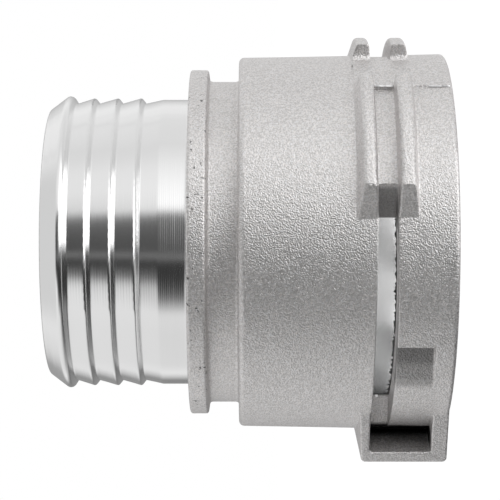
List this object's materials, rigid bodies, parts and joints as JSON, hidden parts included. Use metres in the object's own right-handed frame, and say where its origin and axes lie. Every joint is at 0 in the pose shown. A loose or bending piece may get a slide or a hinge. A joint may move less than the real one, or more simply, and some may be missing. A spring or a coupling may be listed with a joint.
{
  "type": "radiator hose connector",
  "caption": "Cast aluminium coolant hose connector: barbed hose spigot, flange and a push-in pipe socket with guides for a wire spring clip.",
  "frame": {"origin": "centre of the mouth that slides over the coolant pipe, in the plane of its end face", "axes": "+Z along the bore towards the hose spigot; +X through the middle of the plain strip between the two pairs of clip ribs; the part is symmetric about the plane Y = 0"},
  "size_m": [0.0522, 0.0504, 0.0523],
  "materials": {
    "cast_aluminium": "shot-blasted casting, bright turned spigot and bore",
    "seal_rubber": "moulded, satin"
  },
  "bodies": {
    "root": {"connector_body": "cast_aluminium", "seal_ring": "seal_rubber"}
  },
  "joints": []
}
